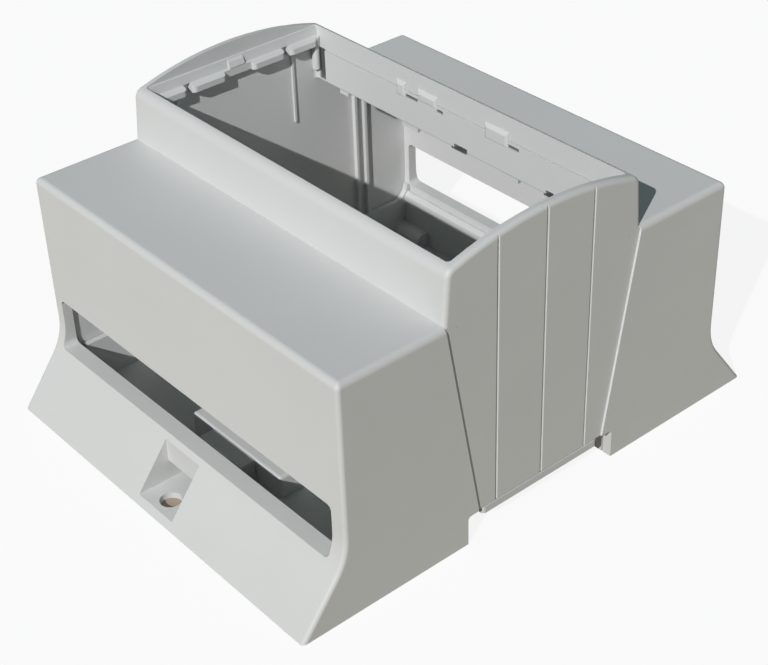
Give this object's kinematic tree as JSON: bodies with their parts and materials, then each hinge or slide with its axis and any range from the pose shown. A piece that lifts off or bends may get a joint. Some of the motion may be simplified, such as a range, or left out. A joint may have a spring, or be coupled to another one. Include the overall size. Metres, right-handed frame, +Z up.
{
  "type": "din rail enclosure",
  "caption": "Open-topped din rail enclosure with flared feet, terminal slots along both long sides, a snap-in base tray and a sliding rail latch.",
  "frame": {"origin": "centre of the footprint, on the plane that the feet stand on", "axes": "+X along the rail, +Y across the rail away from the latch, +Z up towards the window"},
  "size_m": [0.088, 0.11, 0.0613],
  "materials": {
    "housing_grey": "matt",
    "tray_grey": "matt",
    "latch_grey": "matt"
  },
  "bodies": {
    "enclosure": {"housing": "housing_grey", "base_tray": "tray_grey"},
    "latch": {"rail_latch": "latch_grey"}
  },
  "joints": [
    {"name": "latch_slide", "type": "slide", "parent": "enclosure", "child": "latch", "axis": [0, -1, 0], "range_m": [0, 0.0024]}
  ]
}
